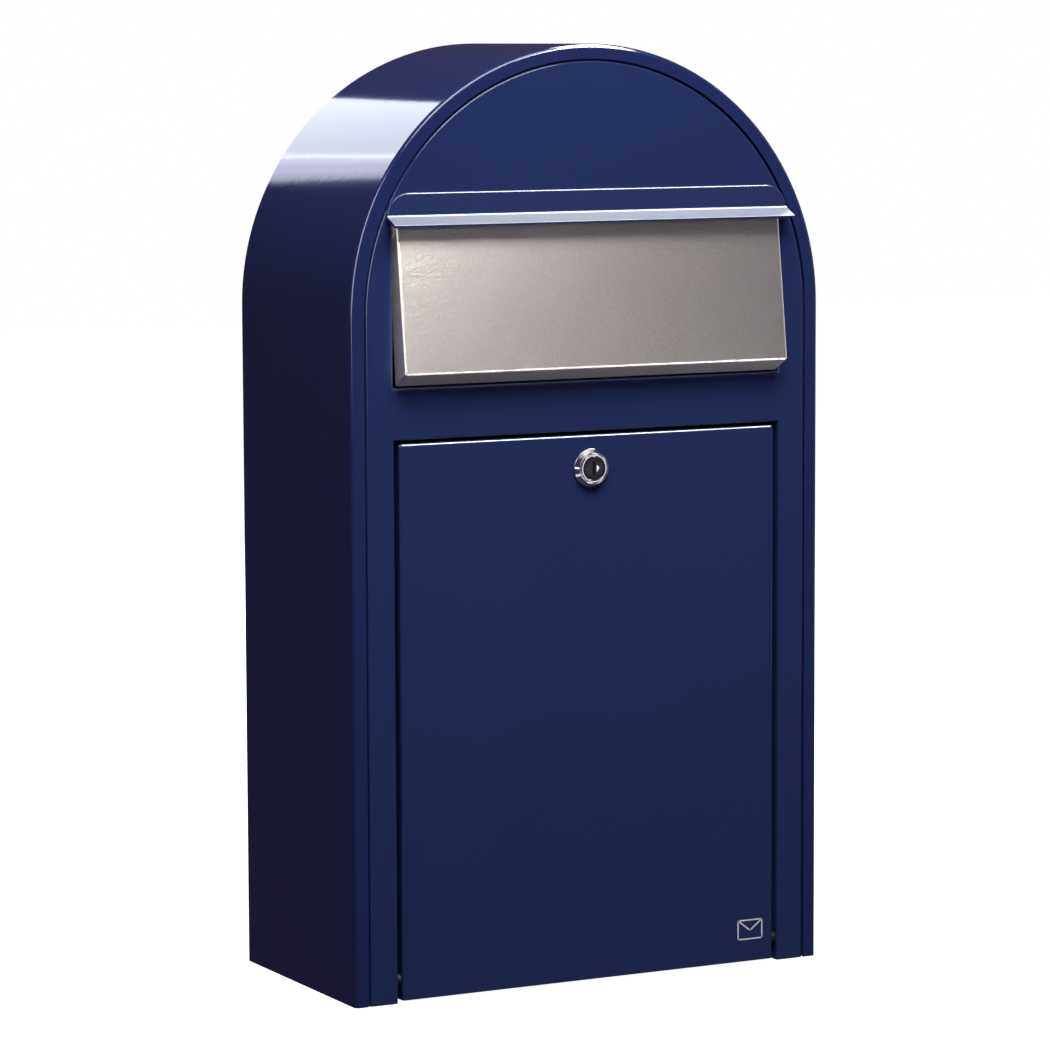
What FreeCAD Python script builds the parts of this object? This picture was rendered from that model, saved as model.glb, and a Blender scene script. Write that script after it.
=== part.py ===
import FreeCAD, Part

import os

import Sketcher

# An arched steel letter box: a wrapped body with an inset front panel, a lift-up stainless flap under a
# drip visor, and a drop-down door with a cam lock.
#
# Every piece is drawn in the box's own working frame, in millimetres: X to the right, Y from the front
# plane into the box, Z up from the underside. The bodies are then placed so that the origin is under the
# middle of the whole object. Each piece is one PartDesign body, and its sizes are bound to the sheet.

SIZES = [
    ("box_width", 336.0, "outside of the wrap"),
    ("box_height", 600.0, "underside to top of the arch"),
    ("box_depth", 164.0, "front plane to back plane"),
    ("sheet_steel", 1.5, "thickness of the body sheets"),
    ("wrap_bend", 3.0, "outer radius of the fold round the front"),
    ("rim_width", 9.5, "front rim of the wrap, seen from the front"),
    ("rim_groove", 1.2, "gap between rim and front panel"),
    ("panel_return", 2.5, "depth of the front panel's folded edge"),
    ("panel_bend", 1.5, "outer radius of the front panel's folds"),
    ("frame_rim", 12.5, "width of the welding frame behind the rim"),
    ("frame_depth", 16.0, "depth of the welding frame's leg on the wrap"),
    ("frame_joint", 400.0, "height where the frame's posts meet its arch"),
    ("back_flange", 12.0, "depth of the back panel's folded edge"),
    ("wall_hole_spread", 200.0, "wall holes, centre to centre across"),
    ("wall_hole_rise", 280.0, "wall holes, centre to centre up"),
    ("wall_hole_low", 130.0, "height of the lower wall holes"),
    ("wall_hole_radius", 4.0, "wall holes"),
    ("slot_half", 138.0, "half width of the letter slot"),
    ("slot_bottom", 388.6, "top of the slot's sill"),
    ("slot_top", 493.8, "top of the letter slot"),
    ("slot_return", 14.0, "depth of the folds round slot and door opening"),
    ("sill_bend", 3.0, "outer radius of the sill's fold"),
    ("door_gap_side", 3.3, "gap beside the door"),
    ("door_gap_top", 2.1, "gap above the door"),
    ("door_half", 135.0, "half width of the door"),
    ("door_bottom", 1.5, "bottom edge of the door"),
    ("door_top", 353.4, "top edge of the door"),
    ("door_flange", 12.0, "depth of the door's folded edges"),
    ("door_bend", 1.8, "outer radius of the door's folds"),
    ("stop_offset", 0.5, "door stops behind the folds of the front panel"),
    ("hinge_depth", 6.0, "door hinge axis behind the front plane"),
    ("hinge_height", 14.0, "door hinge axis above the underside"),
    ("hinge_pin_radius", 2.0, "door hinge pins and flap rod"),
    ("running_gap", 0.05, "radial clearance of a running fit"),
    ("floor_front", 24.0, "front of the floor tray"),
    ("floor_flange", 15.0, "height of the floor tray's sides"),
    ("shelf_half", 131.0, "half width of the shelf behind the door's foot"),
    ("shelf_front", 8.0, "front edge of that shelf"),
    ("drain_radius", 3.0, "drain holes in the floor"),
    ("drain_across", 120.0, "drain holes, either side of the middle"),
    ("drain_front", 60.0, "front drain holes behind the front plane"),
    ("drain_rear", 140.0, "rear drain holes behind the front plane"),
    ("visor_half", 143.0, "half width of the visor"),
    ("visor_top", 509.0, "top edge of the visor's upright"),
    ("visor_upright", 2.0, "how far the upright stands proud"),
    ("visor_fold", 494.5, "height of the fold between upright and lip"),
    ("visor_reach", 12.5, "how far the lip stands out"),
    ("visor_edge", 489.5, "height of the lip's top edge at its front"),
    ("visor_corner", 15.0, "radius of the upright's top corners"),
    ("visor_sheet", 1.65, "lip thickness, measured upright"),
    ("flap_half", 137.0, "half width of the flap"),
    ("flap_sheet", 1.0, "thickness of the flap"),
    ("flap_foot_out", 14.3, "flap's bottom fold in front of the front plane"),
    ("flap_foot", 397.0, "height of the flap's bottom fold"),
    ("flap_head_out", 2.72, "flap's top fold in front of the front plane"),
    ("flap_head", 487.5, "height of the flap's top fold"),
    ("flap_bend", 1.6, "outer radius of the flap's folds"),
    ("flap_toe", 0.5, "rear edge of the flap's foot behind the front plane"),
    ("flap_toe_height", 389.4, "height of that rear edge"),
    ("flap_crown", 5.0, "flap's folded head above the rod's axis"),
    ("flap_ear", 3.5, "flap's folded head behind the rod's axis"),
    ("flap_ear_drop", 5.0, "foot of the flap's ears below the rod's axis"),
    ("flap_crown_front", 1.0, "front of the flap's crown behind the front plane"),
    ("rod_depth", 5.0, "flap rod behind the front plane"),
    ("rod_height", 485.0, "height of the flap rod"),
    ("rod_half", 142.5, "half length of the flap rod"),
    ("bush_radius", 2.95, "barrel of the rod bushes"),
    ("rod_groove", 1.5, "radius left in the rod's clip grooves"),
    ("clip_place", 141.1, "outer face of each rod clip from the middle"),
    ("guard_half", 128.0, "half width of the letter guard"),
    ("guard_root", 496.5, "where the guard leaves the front panel"),
    ("guard_seat", 16.0, "height of its flange on the panel"),
    ("guard_depth", 74.0, "depth of the guard's lip"),
    ("guard_fold", 440.0, "height of the fold above that lip"),
    ("guard_lip", 428.0, "lower edge of the lip"),
    ("keeper_half", 20.0, "half width of the lock keeper"),
    ("keeper_rise", 20.0, "height of the keeper"),
    ("stop_height", 290.0, "lower end of the door stops"),
    ("stop_length", 20.0, "length of the door stops"),
    ("stop_half", 128.0, "inner edge of each door stop from the middle"),
    ("button_across", 134.2, "door buffers, either side of the middle"),
    ("button_radius", 3.8, "door buffers"),
    ("pad_across", 110.0, "flap buffers, either side of the middle"),
    ("pad_half", 6.0, "half width of a flap buffer"),
    ("pad_rise", 3.4, "height of a flap buffer"),
    ("lock_height", 332.0, "height of the lock's axis"),
    ("lock_shank", 8.0, "radius of the lock's threaded shank"),
    ("lock_flat", 6.9, "lock axis to each flat on the shank"),
    ("lock_head", 9.4, "radius of the lock's head"),
    ("lock_proud", 5.0, "how far the lock's head stands out"),
    ("collar_radius", 12.5, "foot of the lock's trim ring"),
    ("lock_length", 17.0, "lock shank behind the front plane"),
    ("plug_radius", 6.0, "lock plug in its bore"),
    ("plug_face", 7.45, "radius of the plug's front face"),
    ("plug_proud", 4.7, "how far the plug's face stands out"),
    ("keyway_half", 0.9, "half width of the keyway"),
    ("keyway_rise", 4.5, "half height of the keyway"),
    ("tail_half", 3.0, "half width of the plug's square tail"),
    ("wafer_pitch", 1.9, "pitch of the tumblers"),
    ("wafer_first", 0.6, "first tumbler slot behind the front plane"),
    ("cam_reach", 38.0, "lock axis to the tip of the cam"),
    ("cam_half", 6.5, "half width of the cam"),
    ("cam_sheet", 2.0, "thickness of the cam"),
    ("cam_hub", 8.0, "radius of the cam round the lock's axis"),
    ("cam_play", 0.3, "gap between lock shank and cam"),
    ("washer_sheet", 0.8, "thickness of the lock's washers"),
    ("nut_flats", 22.0, "lock nut across flats"),
    ("nut_height", 5.0, "height of the lock nut"),
]

# Which way a sketch on each origin plane faces: the sign of its normal along the axis that it crosses.
FACING = {"XY_Plane": 1, "XZ_Plane": -1, "YZ_Plane": 1}
OVERCUT = 1.0


class Size:
    """A number that remembers the sheet formula it came from."""

    def __init__(self, value, formula):
        self.value = value
        self.formula = formula

    def __add__(self, other):
        return join(self, "+", other)

    def __radd__(self, other):
        return join(other, "+", self)

    def __sub__(self, other):
        return join(self, "-", other)

    def __rsub__(self, other):
        return join(other, "-", self)

    def __mul__(self, other):
        return join(self, "*", other)

    def __rmul__(self, other):
        return join(other, "*", self)

    def __truediv__(self, other):
        return join(self, "/", other)

    def __neg__(self):
        return Size(-self.value, f"(-1 * {self.formula})")

    def root(self):
        return Size(self.value ** 0.5, f"sqrt({self.formula})")


def as_size(number):
    return number if isinstance(number, Size) else Size(float(number), f"({float(number)})")


def join(left, sign, right):
    left, right = as_size(left), as_size(right)
    result = {
        "+": left.value + right.value,
        "-": left.value - right.value,
        "*": left.value * right.value,
        "/": left.value / right.value if right.value else 0.0,
    }[sign]
    return Size(result, f"({left.formula} {sign} {right.formula})")


def make_sheet(doc):
    """The driving dimensions, one per row, and a lookup of their Size by name."""
    sheet = doc.addObject("Spreadsheet::Sheet", "Sizes")
    lookup = {}
    for row, (name, value, meaning) in enumerate(SIZES, start=1):
        sheet.set(f"A{row}", name)
        sheet.set(f"B{row}", str(value))
        sheet.set(f"C{row}", meaning)
        sheet.setAlias(f"B{row}", name)
        lookup[name] = Size(value, f"Sizes.{name}")
    doc.recompute()
    return lookup


doc = FreeCAD.newDocument("letter_box")
size = make_sheet(doc)

steel = size["sheet_steel"]
wrap_half = size["box_width"] / 2
arch_centre = size["box_height"] - wrap_half
front_plane = (size["flap_foot_out"] - size["box_depth"]) / 2
running = size["running_gap"]


# ---------------------------------------------------------------- drawing and building helpers

def bind(thing, path, number):
    thing.setExpression(path, as_size(number).formula)


def new_piece(name, x=0, y=0, z=0, several=False):
    """An empty body, placed x, y, z away from the middle of the front plane's foot. With several, it may
    hold a group of separate identical pieces."""
    body = doc.addObject("PartDesign::Body", name)
    body.Label = name
    body.AllowCompound = several
    bind(body, "Placement.Base.x", x)
    bind(body, "Placement.Base.y", front_plane + y)
    bind(body, "Placement.Base.z", z)
    return body


def sketch_on(body, plane, start=0):
    """A sketch parallel to one of the body's origin planes, at the coordinate start across it."""
    sketch = body.newObject("Sketcher::SketchObject", f"{body.Name}_sketch")
    support = next(item for item in body.Origin.OriginFeatures if item.Role == plane)
    sketch.AttachmentSupport = [(support, "")]
    sketch.MapMode = "FlatFace"
    bind(sketch, "AttachmentOffset.Base.z", as_size(start) * FACING[plane])
    return sketch


def pin_point(sketch, item, corner, across, up):
    """Hold one point of a sketch item at two sheet-driven coordinates."""
    for kind, line, number in (("DistanceX", -2, as_size(across)), ("DistanceY", -1, as_size(up))):
        if number.formula in ("(0.0)", "(-0.0)"):
            sketch.addConstraint(Sketcher.Constraint("PointOnObject", item, corner, line))
            continue
        index = sketch.addConstraint(Sketcher.Constraint(kind, -1, 1, item, corner, number.value))
        bind(sketch, f"Constraints[{index}]", number)


def draw_outline(sketch, corners):
    """A closed outline. A corner is (across, up), or (across, up, centre across, centre up, turn) for
    an arc that ends there: turn 1 runs anticlockwise, -1 clockwise."""
    count = len(corners)
    spots = [FreeCAD.Vector(as_size(c[0]).value, as_size(c[1]).value, 0) for c in corners]
    ends = []
    for number, corner in enumerate(corners):
        start, end = spots[number - 1], spots[number]
        if len(corner) == 2:
            index = sketch.addGeometry(Part.LineSegment(start, end), False)
            ends.append((index, 1, 2))
            continue
        centre = FreeCAD.Vector(as_size(corner[2]).value, as_size(corner[3]).value, 0)
        radius = (end - centre).Length
        circle = Part.Circle(centre, FreeCAD.Vector(0, 0, 1), radius)
        turn = corner[4]
        low, high = (start, end) if turn > 0 else (end, start)
        arc = Part.ArcOfCircle(circle, circle.parameter(low), circle.parameter(high))
        index = sketch.addGeometry(arc, False)
        ends.append((index, 1, 2) if turn > 0 else (index, 2, 1))
        chord = end - start
        if abs(chord.y) > abs(chord.x):
            held = sketch.addConstraint(Sketcher.Constraint("DistanceX", -1, 1, index, 3, centre.x))
            bind(sketch, f"Constraints[{held}]", corner[2])
        else:
            held = sketch.addConstraint(Sketcher.Constraint("DistanceY", -1, 1, index, 3, centre.y))
            bind(sketch, f"Constraints[{held}]", corner[3])
    for number in range(count):
        item, _, last = ends[number]
        following, head, _ = ends[(number + 1) % count]
        sketch.addConstraint(Sketcher.Constraint("Coincident", item, last, following, head))
        pin_point(sketch, item, last, corners[number][0], corners[number][1])


def draw_circle(sketch, across, up, radius):
    centre = FreeCAD.Vector(as_size(across).value, as_size(up).value, 0)
    circle = Part.Circle(centre, FreeCAD.Vector(0, 0, 1), as_size(radius).value)
    item = sketch.addGeometry(circle, False)
    index = sketch.addConstraint(Sketcher.Constraint("Radius", item, as_size(radius).value))
    bind(sketch, f"Constraints[{index}]", radius)
    pin_point(sketch, item, 3, across, up)


def rectangle(left, right, low, high):
    return [(left, low), (right, low), (right, high), (left, high)]


def arch(half, low):
    """The box's own outline at a given half width: two straight sides under a semicircle."""
    return [(-half, low), (half, low), (half, arch_centre), (-half, arch_centre, 0, arch_centre, 1)]


def draw(sketch, shapes):
    """Draw closed outlines (lists of corners) and circles (across, up, radius) in one sketch."""
    for shape in shapes:
        if isinstance(shape, list):
            draw_outline(sketch, shape)
        else:
            draw_circle(sketch, *shape)


def grow(body, plane, start, length, *shapes):
    """Pad outlines along the positive axis across the plane, from start."""
    sketch = sketch_on(body, plane, start)
    draw(sketch, shapes)
    feature = body.newObject("PartDesign::Pad", f"{body.Name}_pad")
    feature.Profile = sketch
    bind(feature, "Length", length)
    feature.Reversed = FACING[plane] < 0
    doc.recompute()
    return feature


def cut(body, plane, start, length, *shapes):
    """Pocket outlines along the positive axis across the plane, from start, and see that it cuts."""
    before = body.Tip.Shape.Volume
    sketch = sketch_on(body, plane, start)
    draw(sketch, shapes)
    feature = body.newObject("PartDesign::Pocket", f"{body.Name}_pocket")
    feature.Profile = sketch
    bind(feature, "Length", length)
    feature.Reversed = FACING[plane] > 0
    doc.recompute()
    if feature.Shape.Volume >= before - 1e-6:
        raise RuntimeError(f"{feature.Name} cuts nothing")
    return feature


def turn_profile(body, corners):
    """Revolve a (along Y, radius) outline about the body's own Y axis."""
    sketch = sketch_on(body, "YZ_Plane")
    draw_outline(sketch, corners)
    feature = body.newObject("PartDesign::Revolution", f"{body.Name}_turned")
    feature.Profile = sketch
    feature.ReferenceAxis = (sketch, ["H_Axis"])
    feature.Angle = 360
    doc.recompute()
    return feature


def edges_within(feature, **limits):
    """Names of the edges that lie wholly within limits such as y=0 or z=(10, 20)."""
    found = []
    for number, edge in enumerate(feature.Shape.Edges, start=1):
        box = edge.BoundBox
        spans = {"x": (box.XMin, box.XMax), "y": (box.YMin, box.YMax), "z": (box.ZMin, box.ZMax)}
        inside = True
        for axis, limit in limits.items():
            low, high = limit if isinstance(limit, tuple) else (limit, limit)
            low, high = as_size(low).value - 0.01, as_size(high).value + 0.01
            inside = inside and low <= spans[axis][0] and spans[axis][1] <= high
        if inside:
            found.append(f"Edge{number}")
    if not found:
        raise RuntimeError(f"no edge of {feature.Name} within {limits}")
    return found


def round_edges(body, radius, *places):
    """Fillet the edges of the body's tip that lie in each place, a dict of limits."""
    base = body.Tip
    names = []
    for place in places:
        names += [name for name in edges_within(base, **place) if name not in names]
    feature = body.newObject("PartDesign::Fillet", f"{body.Name}_bend")
    feature.Base = (base, names)
    bind(feature, "Radius", radius)
    doc.recompute()
    return feature


def arch_tray(name, half, start, depth, plate_at_front, bend, low=0):
    """A sheet cut to the arch with its sides and top folded back: the form of every arched piece."""
    body = new_piece(name)
    grow(body, "XZ_Plane", start, depth, arch(half, low))
    face = start if plate_at_front else start + depth
    round_edges(body, bend, {"y": face, "z": (low + OVERCUT, size["box_height"])})
    inner_start = start + steel if plate_at_front else start
    cut(body, "XZ_Plane", inner_start, depth - steel, arch(half - steel, low - OVERCUT))
    return body


# ---------------------------------------------------------------- fixed body of the box

panel_half = wrap_half - size["rim_width"] - size["rim_groove"]
lining_half = wrap_half - steel
opening_half = size["door_half"] + size["door_gap_side"]
opening_top = size["door_top"] + size["door_gap_top"]
stop_arm = size["slot_return"] + size["stop_offset"]
rest_gap = 0.1
shelf_top = size["hinge_height"] - size["hinge_depth"] + steel + rest_gap + steel


def make_body_shell():
    """The wrap: one sheet over both sides and the arch, folded in round the front as a rim."""
    body = arch_tray("body_shell", wrap_half, as_size(0), size["box_depth"], True, size["wrap_bend"])
    inner_fold = {"y": steel, "z": (OVERCUT, size["box_height"])}
    round_edges(body, size["wrap_bend"] - steel, inner_fold)
    cut(body, "XZ_Plane", 0, steel, arch(wrap_half - size["rim_width"], -OVERCUT))


def make_frame_arch():
    """The arch of the welding frame behind the rim, which closes the groove round the front panel."""
    front, joint = size["panel_return"], size["frame_joint"]
    body = arch_tray("frame_arch", lining_half, front, size["frame_depth"], True, steel, joint)
    cut(body, "XZ_Plane", front, steel, arch(lining_half - size["frame_rim"], joint - OVERCUT))


def make_frame_post(name, side):
    """One post of that frame: an angle between wrap and front panel."""
    body = new_piece(name)
    front, outer = size["panel_return"], lining_half
    inner, back = lining_half - size["frame_rim"], size["panel_return"] + size["frame_depth"]
    outline = [
        (side * inner, front),
        (side * outer, front),
        (side * outer, back),
        (side * (outer - steel), back),
        (side * (outer - steel), front + steel),
        (side * inner, front + steel),
    ]
    grow(body, "XY_Plane", 0, size["frame_joint"], outline if side > 0 else outline[::-1])
    round_edges(body, steel, {"x": side * outer, "y": front})


def make_back_panel():
    """The back, folded forward inside the wrap, with the four wall holes."""
    start = size["box_depth"] - size["back_flange"]
    body = arch_tray("back_panel", lining_half, start, size["back_flange"], False, steel)
    across = size["wall_hole_spread"] / 2
    heights = (size["wall_hole_low"], size["wall_hole_low"] + size["wall_hole_rise"])
    holes = [(side * across, height, size["wall_hole_radius"]) for side in (-1, 1) for height in heights]
    cut(body, "XZ_Plane", size["box_depth"] - 2 * steel, 3 * steel, *holes)


def make_front_panel():
    """The inset front: letter slot with folded sides and sill, and the door opening with its folds."""
    body = arch_tray("front_panel", panel_half, as_size(0), size["panel_return"], True,
                     size["panel_bend"])
    slot, sill, returns = size["slot_half"], size["slot_bottom"], size["slot_return"]
    grow(body, "XZ_Plane", 0, returns,
         rectangle(-slot - steel, slot + steel, sill - steel, size["slot_top"]))
    cut(body, "XZ_Plane", 0, returns + OVERCUT, rectangle(-slot, slot, sill, size["slot_top"]))
    grow(body, "XZ_Plane", 0, returns,
         rectangle(-opening_half - steel, opening_half + steel, 0, opening_top + steel))
    cut(body, "XZ_Plane", 0, returns + OVERCUT,
        rectangle(-opening_half, opening_half, -OVERCUT, opening_top))
    round_edges(body, size["sill_bend"], {"y": 0, "z": sill, "x": (-slot, slot)})
    behind = size["sill_bend"] - steel
    round_edges(body, behind, {"y": steel, "z": sill - steel, "x": (-slot - steel, slot + steel)})
    tight_bend = steel * 0.7
    round_edges(body, tight_bend,
                {"y": 0, "x": opening_half, "z": (0, opening_top)},
                {"y": 0, "x": -opening_half, "z": (0, opening_top)},
                {"y": 0, "z": opening_top, "x": (-opening_half, opening_half)})
    through = 2 * size["rod_half"]
    cut(body, "YZ_Plane", -size["rod_half"], through,
        (size["rod_depth"], size["rod_height"], size["bush_radius"] + running))
    cut(body, "YZ_Plane", -size["rod_half"], through,
        (size["hinge_depth"], size["hinge_height"], size["hinge_pin_radius"] + running))


def make_floor_panel():
    """The floor tray, with a raised shelf in front that the opened door comes to rest under."""
    body = new_piece("floor_panel")
    half = lining_half - steel
    front, rear = size["floor_front"], size["box_depth"] - steel
    shelf = size["shelf_half"]
    grow(body, "XY_Plane", 0, size["floor_flange"], rectangle(-half, half, front, rear))
    cut(body, "XY_Plane", steel, size["floor_flange"],
        rectangle(-half + steel, half - steel, front - OVERCUT, rear - steel))
    grow(body, "XY_Plane", steel, shelf_top - steel,
         rectangle(-half + steel, half - steel, front, front + steel))
    grow(body, "XY_Plane", shelf_top - steel, steel,
         rectangle(-shelf, shelf, size["shelf_front"], front + steel))
    depths = (size["drain_front"], size["drain_rear"])
    drains = [(side * size["drain_across"], depth, size["drain_radius"])
              for side in (-1, 1) for depth in depths]
    cut(body, "XY_Plane", -OVERCUT, steel + 2 * OVERCUT, *drains)


def make_visor():
    """The drip visor over the flap: an upright with round corners, folded out into a sloping lip."""
    body = new_piece("visor")
    half, proud, reach = size["visor_half"], size["visor_upright"], size["visor_reach"]
    fold, top, corner = size["visor_fold"], size["visor_top"], size["visor_corner"]
    edge = size["visor_edge"]
    slope = (fold - edge) / (reach - proud)
    under_front = edge - size["visor_sheet"]
    foot = under_front + reach * slope
    straight = half - corner
    shoulder = top - corner
    grow(body, "XZ_Plane", -proud, proud, [
        (-half, foot),
        (half, foot),
        (half, shoulder),
        (straight, top, straight, shoulder, 1),
        (-straight, top),
        (-half, shoulder, -straight, shoulder, 1),
    ])
    upright_rounding, lip_rounding, clear = 1.0, 0.5, 0.1
    round_edges(body, upright_rounding, {"y": -proud, "z": (foot + clear, top)})
    grow(body, "YZ_Plane", -half, 2 * half, [
        (0, foot),
        (-proud, fold),
        (-reach, edge),
        (-reach, under_front),
    ])
    round_edges(body, lip_rounding, {"y": -reach, "x": (-half, half), "z": edge})


def make_letter_guard():
    """A sloping sheet behind the slot that turns letters down and keeps hands out."""
    body = new_piece("letter_guard")
    half, top = size["guard_half"], size["guard_root"] + size["guard_seat"]
    root, lip = size["guard_root"], size["guard_lip"]
    fold_depth, fold = size["guard_depth"], size["guard_fold"]
    lift = 0.7      # makes the sloping part as thick as the rest
    grow(body, "YZ_Plane", -half, 2 * half, [
        (steel, top),
        (steel, root),
        (fold_depth, fold),
        (fold_depth, lip),
        (fold_depth + steel, lip),
        (fold_depth + steel, fold + lift),
        (2 * steel, root + lift),
        (2 * steel, top),
    ])


def make_lock_keeper():
    """The angle on the cross rail that the lock's cam turns behind."""
    body = new_piece("lock_keeper")
    half, front, back = size["keeper_half"], 2 * steel, size["lock_length"]
    seat = opening_top + steel
    top = seat + size["keeper_rise"]
    grow(body, "YZ_Plane", -half, 2 * half, [
        (front, seat),
        (back, seat),
        (back, top),
        (back - steel, top),
        (back - steel, seat + steel),
        (front, seat + steel),
    ])


def make_door_stop(name, side):
    """An angle behind one door post that stops the door flush with the front."""
    body = new_piece(name)
    post, inner, leg_start = opening_half + steel, size["stop_half"], 4.0
    outline = [
        (side * post, leg_start),
        (side * (post + steel), leg_start),
        (side * (post + steel), stop_arm + steel),
        (side * inner, stop_arm + steel),
        (side * inner, stop_arm),
        (side * post, stop_arm),
    ]
    grow(body, "XY_Plane", size["stop_height"], size["stop_length"],
         outline if side > 0 else outline[::-1])


# ---------------------------------------------------------------- flap

def flap_outline(inset):
    """The flap seen from its end, shrunk by inset all round: raked face, sloping foot, folded head."""
    sheet = as_size(inset)
    out, foot = -size["flap_foot_out"], size["flap_foot"]
    head_out, head = -size["flap_head_out"], size["flap_head"]
    rake = (head_out - out) / (head - foot)
    toe, toe_height = size["flap_toe"], size["flap_toe_height"]
    fall = (foot - toe_height) / (toe - out)
    rise = 1.15 * sheet     # the sloping foot's thickness, measured upright
    corner_in = (rake * rise + sheet) / (1 + rake * fall)
    corner_up = rise - fall * corner_in
    crown, ear = size["rod_height"] + size["flap_crown"], size["rod_depth"] + size["flap_ear"]
    ear_foot, crown_front = size["rod_height"] - size["flap_ear_drop"], size["flap_crown_front"]
    half_sheet = 0.5 * sheet
    # The inner outline runs out behind the open back, so that the cut leaves no skin there.
    open_back = OVERCUT if sheet.value else 0
    toe_back, ear_back = toe + 2 * open_back, ear + 8 * open_back
    return [
        (out + corner_in, foot + corner_up),
        (toe_back, toe_height + rise - 2 * open_back * fall),
        (ear_back, ear_foot - open_back),
        (ear_back, crown - sheet),
        (crown_front + half_sheet, crown - sheet),
        (head_out + sheet, head - half_sheet),
    ]


def make_flap():
    """The stainless flap: one sheet folded back at the foot, both ends and the head."""
    body = new_piece("flap")
    half, sheet = size["flap_half"], size["flap_sheet"]
    grow(body, "YZ_Plane", -half, 2 * half, flap_outline(0))
    foot_out, foot = -size["flap_foot_out"], size["flap_foot"]
    clear = 0.1
    face = {"y": (foot_out - clear, clear - size["flap_head_out"]), "z": (foot, size["flap_head"])}
    round_edges(body, size["flap_bend"], face)
    cut(body, "YZ_Plane", -half + sheet, 2 * (half - sheet), flap_outline(sheet))
    cut(body, "YZ_Plane", -half - OVERCUT, 2 * (half + OVERCUT),
        (size["rod_depth"], size["rod_height"], size["hinge_pin_radius"] + running))


def make_flap_rod():
    """The rod that the flap hangs on, grooved near its ends for the clips."""
    body = new_piece("flap_rod", y=size["rod_depth"], z=size["rod_height"])
    half, radius = size["rod_half"], size["hinge_pin_radius"]
    grow(body, "YZ_Plane", -half, 2 * half, (0, 0, radius))
    end_rounding, width, play = 0.4, 0.8, 0.1
    round_edges(body, end_rounding, {"x": half}, {"x": -half})
    outer = size["clip_place"] + play
    for start in (-outer, outer - width):
        cut(body, "YZ_Plane", start, width, (0, 0, radius + OVERCUT), (0, 0, size["rod_groove"]))


def make_rod_clips():
    """Two open spring clips in the rod's grooves."""
    gap_half, outer, thick = 1.0, 3.2, 0.6
    inner, place = size["rod_groove"] + running, size["clip_place"]
    body = new_piece("rod_clips", y=size["rod_depth"], z=size["rod_height"], several=True)
    for start in (-place, place - thick):
        grow(body, "YZ_Plane", start, thick, (0, 0, outer), (0, 0, inner))
        cut(body, "YZ_Plane", start, thick, rectangle(-gap_half, gap_half, -outer - OVERCUT, 0))


def make_rod_bush(name, side):
    """A flanged nylon bush in the fold at one end of the slot."""
    body = new_piece(name, y=size["rod_depth"], z=size["rod_height"])
    bore = size["hinge_pin_radius"] + running
    slot = size["slot_half"]
    flange, flange_radius, barrel = 0.6, 4.2, steel + 0.8
    flange_start = slot - flange if side > 0 else -slot
    barrel_start = slot if side > 0 else -slot - barrel
    grow(body, "YZ_Plane", flange_start, flange, (0, 0, flange_radius), (0, 0, bore))
    grow(body, "YZ_Plane", barrel_start, barrel, (0, 0, size["bush_radius"]), (0, 0, bore))


def make_flap_buffers():
    """Two rubber pads on the sill that the flap's foot closes against."""
    body = new_piece("flap_buffers", z=size["slot_bottom"], several=True)
    near, far = size["pad_across"] - size["pad_half"], size["pad_across"] + size["pad_half"]
    front, rear, rounding = 3.2, 10.0, 1.0
    grow(body, "XY_Plane", 0, size["pad_rise"],
         rectangle(-far, -near, front, rear), rectangle(near, far, front, rear))
    round_edges(body, rounding, {"z": size["pad_rise"]})


# ---------------------------------------------------------------- door

def make_door_panel():
    """The door: a sheet folded back at both sides and the top, drilled for hinge pins and lock."""
    body = new_piece("door_panel")
    half, low, high = size["door_half"], size["door_bottom"], size["door_top"]
    grow(body, "XZ_Plane", 0, size["door_flange"], rectangle(-half, half, low, high))
    round_edges(body, size["door_bend"], {"y": 0}, {"x": half, "z": high}, {"x": -half, "z": high})
    cut(body, "XZ_Plane", steel, size["door_flange"],
        rectangle(-half + steel, half - steel, low - OVERCUT, high - steel))
    cut(body, "YZ_Plane", -half - OVERCUT, 2 * (half + OVERCUT),
        (size["hinge_depth"], size["hinge_height"], size["hinge_pin_radius"] + running))
    play = 0.1
    hole, flat = size["lock_shank"] + play, size["lock_flat"] + play
    cut(body, "XZ_Plane", -OVERCUT, steel + 2 * OVERCUT, flatted_circle(hole, flat, size["lock_height"]))


def flatted_circle(radius, flat, height):
    """A circle with two upright flats, centred at a height on the middle line."""
    rise = (radius * radius - flat * flat).root()
    return [
        (flat, height + rise),
        (-flat, height + rise, 0, height, 1),
        (-flat, height - rise),
        (flat, height - rise, 0, height, 1),
    ]


def make_hinge_pin(name, side):
    """A headed pin from inside the door's fold through the door post, riveted over behind it."""
    body = new_piece(name, y=size["hinge_depth"], z=size["hinge_height"])
    head_play = 0.1
    head_end = size["door_half"] - steel - head_play
    tail = opening_half + steel
    head_length, head_radius, tail_length, tail_radius = 1.5, 3.6, 1.4, 3.2
    parts = [
        (head_end - head_length, head_length, head_radius),
        (head_end, tail - head_end, size["hinge_pin_radius"]),
        (tail, tail_length, tail_radius),
    ]
    for start, length, radius in parts:
        grow(body, "YZ_Plane", start if side > 0 else -(start + length), length, (0, 0, radius))


def make_hinge_washer(name, side):
    """A nylon spacer on the hinge pin, between door and post."""
    body = new_piece(name, y=size["hinge_depth"], z=size["hinge_height"])
    play, radius = 0.2, 4.4
    start, length = size["door_half"] + play, size["door_gap_side"] - 2 * play
    grow(body, "YZ_Plane", start if side > 0 else -(start + length), length,
         (0, 0, radius), (0, 0, size["hinge_pin_radius"] + running))


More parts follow.
